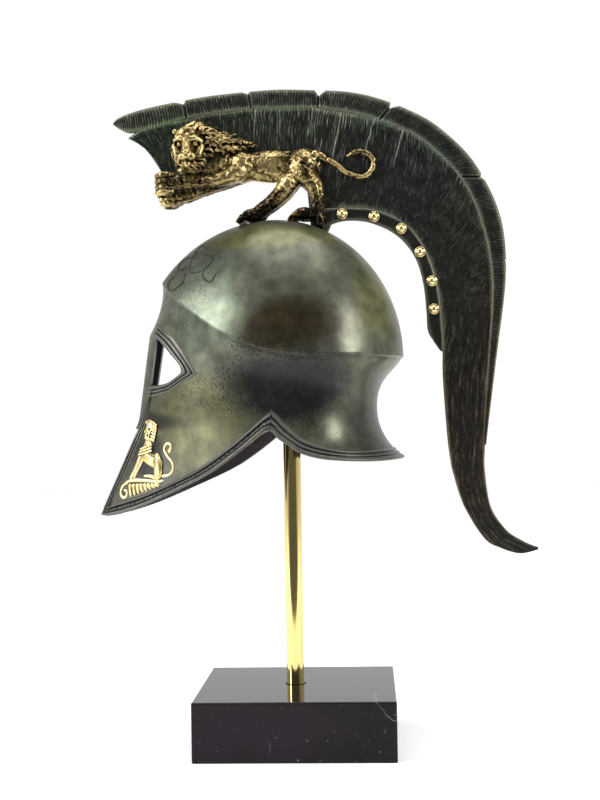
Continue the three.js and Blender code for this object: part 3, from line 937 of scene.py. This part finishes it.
for y, z, depth, before, after in [
    (-54.8, 334.1, 1.9, 4.5, 1.4), (-20.3, 338, 1.2, 3, 1.2), (17.2, 335.1, 3, 2.6, 3.4),
    (54.6, 326.8, 3.2, 1.5, 3.6), (100.7, 289.2, 1.3, 2.2, 2), (112, 246.2, 0.5, 0.9, 0.9),
]:
    nearest = np.argmin(np.hypot(band_line[:, 0] - y, band_line[:, 1] - z))
    notches.append((band_travel[nearest], depth, before, after))


def notch_at(travel, share):
    """How far the outer edge is cut in between two groups of the band."""
    dent = 0
    for middle, depth, before, after in notches:
        off = travel - middle
        reach = before if off < 0 else after
        dent = max(dent, depth * max(0, 1 - abs(off) / reach))
    return dent * (1 - share)


def band_relief(travel, share, length, y, z):
    """Chased lines, a step at each notch and a lip along the inner line."""
    fade = smooth((z - 150) / 60) if y > tail_start else 1
    sway = 0.5 * noise.noise(Vector((y * 0.12, z * 0.12, 1.5)))
    line = 0.5 + 0.5 * math.cos(math.tau * (travel / line_pitch + sway * 2))
    strength = 0.5 + 0.5 * noise.noise(Vector((travel * 0.5, share * 4, 7.1)))
    height = 0.26 * fade * line ** 3 * strength * 1.4
    for middle, depth, _, _ in notches:
        off = travel - middle
        height -= min(1, depth) * 0.9 * math.exp(-(off / 0.55) ** 2)
        height += 0.22 * math.exp(-((off - 1.3) / 0.7) ** 2)
    lip = 0.16 * strength * math.exp(-((share * length - length + 0.9) / 0.4) ** 2)
    rough = 0.12 * noise.noise(Vector((y * 0.9, z * 0.9, 3)))
    return height + lip * (1 if y > tail_start else 0.45) + rough


crest_part(
    "crest_band", band_ribs, band_columns, 12, band_half, band_relief, ["crest_plate"], notch_at
)

plume_ribs = [
    (-84.9, 317, -66.2, 296.4, 3.0), (-78, 321, -61.5, 296.4, 2.0), (-68, 323.4, -55, 296.4, 1.0),
    (-58, 325.3, -50, 296.4, 0), (-40, 328.3, -38, 295, 0), (-18.2, 330.2, -19, 293.4, 0),
    (-3.4, 329.8, -5, 292, 0), (14.6, 329.6, 8.6, 291, 0), (22.4, 328.4, 12.3, 266, 0),
    (30, 327.1, 19.4, 262, 0), (36.6, 325.6, 26, 274.6, 0), (43.7, 323.7, 33, 275, 0),
    (52.8, 320.2, 41, 274, 1), (61, 316.6, 48, 272.2, 2), (67.1, 313.8, 53, 270, 3),
    (75, 307, 57, 267.4, 3.4), (82, 300.2, 61, 264.4, 3.4), (87.3, 296, 64.4, 261, 3),
    (92, 287.6, 67.9, 256, 2.4), (98, 276.4, 71.4, 250, 1.6), (101.2, 266, 74, 242.6, 1),
    (103.3, 256.7, 76, 235, 0.4), (105.4, 239.1, 78, 225, 0), (105.6, 225, 78.8, 211, 0),
    (104.2, 207.4, 78.9, 199, 0), (102, 185.2, 78.9, 185.7, 0), (100.6, 165, 80.5, 157.8, 0),
    (99.7, 150, 81.8, 145.5, 0), (99.5, 139.1, 83.3, 137.2, 0), (102.1, 120.7, 88.5, 120.7, 0),
    (109.8, 108.5, 98.4, 104.3, 0), (117.4, 103.2, 106.6, 99.2, 0), (122.6, 100.6, 116.4, 96.4, 0),
    (125.8, 99.5, 125.4, 98.2, 0),
]
separators = [(-17.6, 322), (-4.2, 320), (12.4, 322), (26, 316), (42.4, 312.4), (57, 305)]


def plume_relief(travel, share, length, y, z):
    """Short chased hair on top, long strands down the tail, and a step at each separator."""
    down = smooth((246 - z) / 40) if y > tail_start else 0
    sway = 0.6 * noise.noise(Vector((y * 0.1, z * 0.1, 9.5)))
    line = 0.5 + 0.5 * math.cos(math.tau * (travel / line_pitch + sway * 3))
    ragged = 0.55 + noise.noise(Vector((travel * 0.55, share * length * 0.12, 2.2)))
    ragged *= mix(1.2, 0.6, smooth((share - 0.3) / 0.4))
    crumb = noise.noise(Vector((y * 0.85, z * 0.7, 5.5)))
    crumb += 0.5 * noise.noise(Vector((y * 1.9, z * 1.5, 2.5)))
    height = (1 - down) * (0.34 * line ** 4 * min(1.3, max(0, ragged)) + 0.17 * crumb)
    strand = noise.noise(Vector((share * length * 0.8, travel * 0.06, 8.8)))
    fine = noise.noise(Vector((share * length * 1.7, travel * 0.16, 3.1)))
    height += down * (0.24 * strand + 0.2 * fine + 0.1 * crumb)
    for centre_y, centre_z in separators:
        slant = (centre_z - z) * 0.28 * smooth((centre_y - 5) / 30)
        off = y - centre_y + slant
        near = max(0, 1 - abs(share - 0.2) / 0.35) if share > 0.2 else 1
        height -= near * 0.55 * math.exp(-(off / 0.5) ** 2)
        height += near * 0.28 * math.exp(-((off - 1) / 0.5) ** 2)
    return height


crest_part("crest_plume", plume_ribs, 1250, 30, plume_half, plume_relief)

inner_ribs = [
    (16, 276.3, 15.6, 262, 0), (22, 276.4, 21, 266.9, 0), (28.4, 276.4, 28, 269.2, 0),
    (36, 276, 35.6, 269.3, 0), (45, 274.8, 43, 267.9, 0), (56.3, 270.3, 52.6, 263.6, 0),
    (65, 263.3, 60, 257.5, 0), (72, 251.7, 66, 248.5, 0), (76.8, 236.6, 69.6, 236, 0),
    (78.6, 224.2, 71, 222, 0), (79.5, 212, 71.6, 211.4, 0), (79.7, 205, 74.4, 205.8, 0),
    (79.3, 200, 77.6, 201, 0),
]


def inner_relief(travel, share, length, y, z):
    """A smooth band with one line along its outer edge."""
    line = 0.2 * math.exp(-((share * length - 1) / 0.4) ** 2)
    return line + 0.07 * noise.noise(Vector((y * 0.7, z * 0.7, 6)))


crest_part("crest_inner_band", inner_ribs, 420, 12, inner_half, inner_relief)

# ---- studs ----
# Round-headed bronze studs, six a side, set along the crest's inner band and rubbed bright; darker
# in their hollows, as patina and painted shade, and brighter on top, as wear and painted highlight.
gilt = shaded_wear_finish(
    "bright_bronze", (0.05, 0.035, 0.012), (0.62, 0.47, 0.20), (0.90, 0.72, 0.36), 1, 0.26,
    grain=300, spots=0.2,
)
stud_seat = 2.1
stud_places = [
    (28.4, 272.8), (45, 270.9), (59, 264.2), (68.4, 251.8), (74.2, 236.7), (75, 222.2),
]
stud_profile = [
    (0, 1.5), (0.7, 1.44), (1.3, 1.2), (1.75, 0.85), (2.05, 0.62), (2.3, 0.66), (2.6, 0.6),
    (2.8, 0.3), (2.8, -0.4), (0, -0.4),
]
for side_name, side in (("left", 1), ("right", -1)):
    for number, (y, z) in enumerate(stud_places, 1):
        points = [(height + stud_seat, y + across, z) for across, height in stud_profile]
        stud = spun(points, (0, y, z), (1, 0, 0), 28)
        bmesh.ops.scale(stud, vec=(side, 1, 1), verts=stud.verts)
        bmesh.ops.recalc_face_normals(stud, faces=stud.faces)
        head = new_piece(
            f"stud_head_{side_name}_{number}", stud, [gilt],
            [f"stud_{side_name}_{number}"], True,
        )
        mark_wear_and_shading(head, 0.5, 1)

# ---- lions ----
# A walking lion cast in high relief on each side of the plate, its head turned outwards. It is
# dark in its hollows and bright on the high places: patina and rubbed metal, with painted shade
# in the hollows and painted highlights on the high places.
lion_bronze = shaded_wear_finish(
    "lion_patina_and_shading", (0.008, 0.006, 0.004), (0.13, 0.094, 0.038), (0.53, 0.41, 0.18), 0.9, 0.3,
    grain=85, spots=0.9, marks=(0.34, 0.50, 0.72), dull=(0.268, 0.286, 0.25),
)
ball = bpy.data.meshes.new("ball")
round_clay = bmesh.new()
bmesh.ops.create_icosphere(round_clay, subdivisions=2, radius=1)
round_clay.to_mesh(ball)
round_clay.free()


def lump(bm, spot, radius, squeeze=(1, 1, 1)):
    """One ball of the model, squeezed along x, y and z."""
    reach = Matrix.Diagonal((radius * squeeze[0], radius * squeeze[1], radius * squeeze[2], 1))
    shape = ball.copy()
    shape.transform(Matrix.Translation(spot) @ reach)
    bm.from_mesh(shape, face_normals=False, vertex_normals=False)
    bpy.data.meshes.remove(shape)


def limb(bm, stops):
    """A run of overlapping lumps; each stop is x, y, z and a radius."""
    count = max(4, int(sum(
        math.dist(first[:3], second[:3]) / max(0.4, 0.3 * min(first[3], second[3]))
        for first, second in zip(stops, stops[1:])
    )))
    for x, y, z, radius in curve_through(stops, count):
        lump(bm, (x, y, z), radius)


def grown_together(bm, voxel, passes):
    """The lumps of a bmesh melted into one skin."""
    holder = placed(bm, "work")
    melt = holder.modifiers.new("melt", "REMESH")
    melt.mode = "VOXEL"
    melt.voxel_size = voxel
    ease = holder.modifiers.new("ease", "SMOOTH")
    ease.factor = 0.5
    ease.iterations = passes
    return worked(holder)


def on_both_sides(bm, name, node, finish, reach, passes):
    """The left side's casting and its mirror image, each standing for its own node."""
    for side_name, side in (("left", 1), ("right", -1)):
        half = bm.copy()
        bmesh.ops.scale(half, vec=(side, 1, 1), verts=half.verts)
        bmesh.ops.recalc_face_normals(half, faces=half.faces)
        piece = new_piece(f"{name}_{side_name}", half, [finish], [f"{node}_{side_name}"], True)
        mark_wear_and_shading(piece, reach, passes)
    bm.free()


def mane_height(y, z):
    """How far the ruff round the face and the mane behind it stand out from the plate's middle."""
    ruff = 1 - ((y + 49) / 12.6) ** 2 - ((z - 310) / 13.8) ** 2
    back = (y + 46) / 28.5
    nape = 1 - ((z - mix(311.8, 310, back)) / mix(12, 1.2, back)) ** 2 if 0 < back < 1 else 0
    return max(9.2 * math.sqrt(max(0, ruff)), mix(8.8, 6, back) * math.sqrt(max(0, nape)))


beast = bmesh.new()
# body, with the shoulder and the haunch standing out of it, then the ruff, chest and mane
for spot, radii in [
    ((0.5, -38, 302), (6.2, 12, 9.6)), ((0.5, -23, 299.8), (6.6, 11, 9)), ((0.3, -8, 299.3), (6, 20, 9)),
    ((0.8, 8.6, 299), (6.6, 10.6, 9.4)), ((3.6, -23.4, 300.4), (4.6, 6.6, 7.2)),
    ((3.8, 9.4, 298), (4.8, 6.8, 8)), ((0, -49, 310), (8.6, 12.2, 13.4)),
    ((0, -47, 298.6), (5.6, 13, 4.6)), ((1.6, -54, 295.6), (4, 4, 2.6)),
    ((0, -40, 311.6), (7.8, 6, 10.6)), ((0, -33, 311.2), (7.4, 6, 7.8)),
    ((0, -26, 310.6), (6.6, 6, 4.8)), ((0, -21, 310.2), (5.8, 6, 2.6)),
]:
    lump(beast, spot, 1, radii)
# forelegs, reaching forward; the far one is lower
limb(beast, [
    (3.8, -25, 296.6, 5.6), (4.8, -33, 293, 4.2), (5.2, -42, 291.6, 3.6), (5.6, -52, 291.3, 4),
    (5.8, -61, 291, 4.8),
])
limb(beast, [
    (2.2, -30, 292.4, 3.4), (2.4, -44, 288.2, 3.2), (2.6, -54, 285.4, 3.8), (2.8, -61, 283.8, 4.2),
])
# hind legs
limb(beast, [(2.4, 1, 290, 5.4), (2.4, -3, 284.8, 4.8), (2.5, -8.6, 279.6, 4.2), (2.5, -14, 276.2, 3.8)])
lump(beast, (2.4, -17.6, 273.6), 1, (4.2, 7, 3.9))
limb(beast, [(3.4, 10, 294, 6.4), (3.8, 14.2, 287.4, 4.7), (3.9, 15.6, 281.6, 3.9), (3.8, 15.4, 277, 3.7)])
lump(beast, (3.6, 9.4, 273.4), 1, (4.2, 7, 3.6))
limb(beast, [(3.6, 16.6, 277, 3.2), (3.4, 17.2, 271, 2.8), (3.2, 17, 267.6, 3)])
# skull
lump(beast, (6.6, -50.6, 311), 1, (6.2, 7.2, 9.2))
beast = grown_together(beast, 0.6, 5)

# toes and claws
for toe in range(4):
    near_z = 286.4 + toe * 3
    limb(beast, [(7.6, -60, near_z, 1.8), (8.8, -64.6, near_z, 2), (7, -68, near_z - 0.4, 1.6)])
for toe in range(3):
    far_z = 280.9 + toe * 2.4
    limb(beast, [(4.6, -60, far_z, 1.6), (5.2, -63.4, far_z, 1.7), (4.4, -65.8 - toe, far_z - 0.3, 1.3)])
    out = 0.8 + toe * 2.5
    limb(beast, [(out, -18, 274.8, 1.7), (out, -22.4, 273, 1.9), (out, -25.6, 270.8, 1.5)])
    out += 1
    limb(beast, [(out, 8.4, 274.4, 1.7), (out, 4.6, 272.6, 1.9), (out, 1.8, 270.4, 1.5)])
# tail
limb(beast, [
    (3.2, 15, 304, 2.6), (3, 19.6, 302.2, 1.9), (2.9, 25.8, 298.4, 1.6), (2.9, 31.5, 293.9, 1.5),
    (2.9, 38.6, 291.6, 1.45), (2.9, 43.4, 293.9, 1.45), (2.9, 45.4, 298.9, 1.45), (2.9, 43, 303.2, 1.5),
    (2.9, 38, 304.6, 1.6), (2.9, 34.4, 304, 1.2), (2.9, 31.8, 302.8, 0.6),
])
# face: forehead, brows, long muzzle, nose, lips, chin, cheeks and ears
lump(beast, (9.8, -51.4, 316.8), 1, (3, 5, 3.8))
limb(beast, [(11.2, -57.4, 312.8, 1.2), (12.6, -55, 313.6, 1.5), (13, -52, 312.8, 1.6)])
limb(beast, [(13, -49.8, 312.6, 1.6), (12.8, -46.6, 313.2, 1.5), (11.2, -43.6, 311.8, 1.3)])
limb(beast, [
    (12, -50.9, 314, 2.6), (13.6, -51, 310, 2.5), (14.6, -50.8, 306.6, 2.9), (14.6, -50.6, 304.2, 3.1),
])
lump(beast, (16.9, -50.7, 305.4), 1.5, (0.9, 1.4, 0.8))
lump(beast, (14.2, -53.2, 303.4), 2.4)
lump(beast, (14.2, -48, 303.2), 2.4)
lump(beast, (12.8, -50.6, 300), 2.3)
for eye_y in (-55, -46.4):
    lump(beast, (11.6, eye_y, 310.4), 1.5, (1, 1.2, 0.9))
limb(beast, [(10.4, -57.6, 309.6, 2), (11.2, -56.2, 305.8, 2.4)])
limb(beast, [(10.4, -43.8, 308.8, 2.2), (11.2, -45, 305, 2.6)])
lump(beast, (8, -58.2, 318), 1.5)
lump(beast, (8.4, -43.6, 318.8), 1.7)
# locks of the mane, swept back from the face in uneven rows
muzzle_y = -50.6
muzzle_z = 311
lock_radii = (0.6, 0.9, 0.85, 0.4)
lock_seed = 0
for ring in range(11):
    ring_radius = 8.8 + ring * 2.3
    count = int(math.tau * ring_radius / 2.6)
    for step in range(count):
        lock_seed += 1
        wander = noise.noise(Vector((lock_seed * 1.7, 0.3, 0.9)))
        angle = math.tau * (step + 0.5 * (ring % 2) + 0.7 * wander) / count
        lock_radius = ring_radius + 2.2 * noise.noise(Vector((lock_seed * 2.3, 5.1, 0.4)))
        y = muzzle_y + math.cos(angle) * lock_radius
        z = muzzle_z + math.sin(angle) * lock_radius
        if mane_height(y, z) < 2.4 or z < 297:
            continue
        flow = Vector((0, math.cos(angle) + 0.8, math.sin(angle) * 0.8 - 0.12)).normalized()
        side = Vector((0, -flow.z, flow.y))
        curl = 0.9 if lock_seed % 2 else -0.9
        stops = []
        for part, radius in enumerate(lock_radii):
            reach = part * 1.5
            bend = curl * math.sin(part * 1.3)
            lock_y = y + flow.y * reach + side.y * bend
            lock_z = z + flow.z * reach + side.z * bend
            lift = max(mane_height(lock_y, lock_z), 0.5)
            stops.append((lift + 0.5 - part * 0.2, lock_y, lock_z, radius))
        limb(beast, stops)
beast = grown_together(beast, 0.36, 1)

# hollows of the eyes, the mouth and the nose: a place, a reach and a depth
dents = [
    ((14, -54.4, 308), 1.5, 1.3), ((14, -46.8, 307.8), 1.6, 1.3), ((12.4, -56.8, 310.4), 1.0, 0.8),
    ((12.4, -44.8, 310.2), 1.1, 0.8), ((15.4, -50.6, 301.7), 1.0, 0.9), ((14.6, -53.4, 301.2), 0.9, 0.8),
    ((14.6, -47.8, 301), 0.9, 0.8), ((17, -52.2, 304.9), 0.6, 0.6), ((17, -49.3, 304.9), 0.6, 0.6),
]
for vert in beast.verts:
    x, y, z = vert.co
    pitted = min(0, noise.noise(Vector((x * 0.3, y * 0.3, z * 0.3))) + 0.1) * 1.1
    pitted += noise.noise(Vector((x * 0.9, y * 0.8, z * 0.9))) * 0.22
    if mane_height(y, z) > 1:
        pitted *= 0.15
    move = vert.normal * pitted
    for spot, reach, depth in dents:
        off = (vert.co - Vector(spot)).length
        if off < reach * 3:
            move -= vert.normal * depth * math.exp(-(off / reach) ** 2)
    vert.co += move
bmesh.ops.bisect_plane(
    beast, geom=every_part(beast), dist=0.0001, plane_co=(0.1, 0, 0), plane_no=(1, 0, 0),
    clear_inner=True,
)
fill_holes(beast)
bmesh.ops.triangulate(beast, faces=[face for face in beast.faces if len(face.verts) > 4])
on_both_sides(beast, "lion_body", "lion", lion_bronze, 0.5, 3)

# ---- sphinxes ----
# A seated sphinx in low relief on each cheek above a fluted fan with a volute, cast with the
# cheek and rubbed bright, with painted shade in its hollows and painted highlights on its high
# places. The face is plain and calm.


def laid(bm, stops, lift=0.15, squash=0.5, count=None):
    """A raised stroke on the cheek; each stop is y, z and a radius.

    squash is its thickness off the cheek as a share of its width.
    """
    run = sum(math.dist(first[:2], second[:2]) for first, second in zip(stops, stops[1:]))
    count = count or max(3, int(run / 0.35))
    for y, z, radius in curve_through(stops, count):
        spot, normal = on_skin(y, z, lift)
        turn = normal.to_track_quat("X", "Z").to_matrix().to_4x4()
        shape = Matrix.Diagonal((radius * squash, radius, radius, 1))
        bmesh.ops.create_icosphere(
            bm, subdivisions=1, radius=1, matrix=Matrix.Translation(spot) @ turn @ shape
        )


figures = bmesh.new()
# seated body, haunch and legs
laid(figures, [
    (-76.6, 149.6, 2), (-74.2, 148.4, 3.1), (-71.4, 147, 3.5), (-68.4, 145.6, 3.2),
], 0.1, 0.36)
laid(figures, [(-67.4, 149, 1.7), (-66.7, 145.4, 2.9), (-66.5, 141.8, 3), (-66.9, 138.6, 2.4)], 0.6)
laid(figures, [(-77.9, 148, 1.5), (-79.7, 144, 1.2), (-81.2, 141, 1.05), (-82.9, 137.8, 1.2)])
laid(figures, [(-76.4, 147, 1.2), (-78.6, 142.8, 1), (-80.9, 138.4, 1)])
laid(figures, [(-74.7, 138.7, 0.8), (-71.6, 138.6, 1), (-68.2, 137.9, 1.3)], 0.3)
# neck and a collar of three strips
laid(figures, [(-72.6, 157, 2.5), (-73.2, 154, 3), (-74, 151.4, 3.8)], 0.1, 0.34)
for strip in range(3):
    rise = strip * 1.45
    laid(figures, [
        (-77.8 + rise * 0.35, 149.5 + rise, 0.6), (-74.4, 150.4 + rise, 0.66), (-70.4, 151.5 + rise, 0.6),
    ], 1.2, 0.7)
# head with a plain face, a band across the hair, and hair falling behind
laid(figures, [(-72.4, 164.4, 3.1), (-72.6, 161.6, 3.3), (-73, 159, 2.8)], 0.3)
laid(figures, [(-74.6, 166.2, 0.7), (-72.2, 167, 0.8), (-69.4, 165.8, 0.75)], 0.9)
for row in range(6):
    for lock in range(2):
        y = -68.4 - lock * 1.3 - 0.12 * row * row * 0.4
        z = 165 - row * 1.6 + lock * 0.4
        laid(figures, [(y, z, 0.8), (y + 0.3, z - 0.5, 0.72)], 0.75, 0.6, 2)
laid(figures, [(-75.1, 162.3, 0.6), (-75.4, 161.3, 0.6)], 0.4, 0.5, 2)
# tail with its curl, the bar under the paws, the volute and the fluted fan
laid(figures, [
    (-64, 138.6, 0.9), (-60.4, 139.4, 0.8), (-58.4, 142, 0.78), (-58.8, 145.6, 0.8), (-61.6, 148.8, 0.85),
    (-63.4, 152, 0.85), (-62.6, 154.7, 0.85), (-60.7, 155.2, 0.85), (-59.3, 153.6, 0.9),
    (-60.4, 151.4, 1.15),
])
laid(figures, [
    (-85.6, 135.4, 0.9), (-82, 136.4, 1), (-75, 136.4, 1.05), (-68, 135.8, 1), (-64, 136.4, 0.6),
])
laid(figures, [
    (-85.2, 135, 0.8), (-87.4, 133.8, 0.8), (-88.8, 131.2, 0.85), (-88.6, 128.4, 0.95),
    (-86.8, 127.4, 0.95), (-85.2, 128.6, 0.85), (-85.4, 130.8, 0.8), (-86.7, 131.2, 0.75),
])
flutes = 8
for flute in range(flutes):
    share = flute / (flutes - 1)
    top_y = mix(-83.4, -68.2, share)
    foot_y = mix(-82.6, -66.6, share)
    top_z = mix(133.5, 134.4, share)
    foot_z = mix(128.6, 133.9, share)
    laid(figures, [
        (top_y, top_z, 1.2), (mix(top_y, foot_y, 0.5), mix(top_z, foot_z, 0.5), 1.3), (foot_y, foot_z, 1),
    ], 0.2, 0.6)
figures = grown_together(figures, 0.24, 1)
# eye, mouth and the hollow under the chin
carvings = [
    (-71.8, 162.4, 0.9), (-73, 159.2, 0.5), (-73.2, 156.4, 0.8), (-72, 156.2, 0.8), (-70.8, 156.2, 0.8),
]
carving_reach = 0.75
for y, z, depth in carvings:
    spot = on_skin(y, z, 1.5)[0]
    for vert in figures.verts:
        off = (vert.co - spot).length
        if off < carving_reach * 3:
            vert.co -= vert.normal * depth * math.exp(-(off / carving_reach) ** 2)
# dark in the hollows, as patina and painted shade, and bright on the high places, as wear and painted
# highlight
relief_gold = shaded_wear_finish(
    "sphinx_bronze", (0.02, 0.014, 0.006), (0.60, 0.47, 0.20), (0.88, 0.72, 0.38), 1, 0.3,
    grain=300, spots=0.3,
)
on_both_sides(figures, "sphinx_relief", "sphinx", relief_gold, 0.22, 2)

# ---- floor and light ----
# A plain white table in a pale room, its dark side behind the camera, and four softboxes.
# The table ends in front of the camera, and glows more with distance so its far edge is lost.
table_reach = 3
table_front = 0.44
table = bmesh.new()
bmesh.ops.create_grid(table, x_segments=1, y_segments=1, size=table_reach)
for vert in table.verts:
    vert.co.x = min(vert.co.x, table_front)
floor = placed(table, "floor")
floor_white, tree, shader = new_finish("floor_white", 0, 0.6)
shader.inputs["Base Color"].default_value = (0.9, 0.9, 0.9, 1)
shader.inputs["Emission Color"].default_value = (1, 1, 1, 1)
glow = ranged(tree, length_of(tree, own_place(tree)), 0.1, 0.7, 0.22, 0.52)
tree.links.new(glow, shader.inputs["Emission Strength"])
floor.data.materials.append(floor_white)

world = bpy.data.worlds.new("studio")
world.use_nodes = True
bpy.context.scene.world = world
sky = world.node_tree
facing = add_node(sky, "SeparateXYZ", Vector=add_node(sky, "TexCoord").outputs["Generated"])
from_far = ranged(sky, facing.outputs["X"], -1, 1, 0, 1)
room = ramp(sky, from_far, [(0.0, 1.0), (0.5, 0.8), (0.72, 0.65), (0.85, 0.13)])
ceiling = ramp(sky, facing.outputs["Z"], [(0.3, 1.0), (0.75, 0.45)])
lit_by = blend_colours(sky, 1.0, room, ceiling, "MULTIPLY")
# the room itself is seen as plain white
backdrop_white = (1.05, 1.05, 1.05)
seen = add_node(sky, "LightPath").outputs["Is Camera Ray"]
sky.links.new(
    blend_colours(sky, seen, lit_by, backdrop_white), sky.nodes["Background"].inputs["Color"]
)


def softbox(name, place, aim, width, height, power):
    """A rectangular light, sizes in metres and power in watts, that is not seen itself."""
    light = bpy.data.lights.new(name, "AREA")
    light.shape = "RECTANGLE"
    light.size = width
    light.size_y = height
    light.energy = power
    light.color = (1, 0.98, 0.95)
    box = bpy.data.objects.new(name, light)
    bpy.context.scene.collection.objects.link(box)
    box.location = place
    box.rotation_euler = (Vector(aim) - Vector(place)).to_track_quat("-Z", "Y").to_euler()
    box.visible_camera = False


softbox("softbox_front", (0.55, -1.15, 0.9), (0, 0, 0.2), 0.7, 0.45, 15)
softbox("softbox_low", (0.56, -1.12, 0.28), (0, 0, 0.15), 0.3, 0.2, 2.4)
softbox("softbox_back", (0.8, 1.0, 0.75), (0, 0, 0.2), 0.4, 0.5, 11)
softbox("softbox_top", (0.1, 0.0, 1.3), (0, 0, 0.2), 0.9, 0.9, 10)
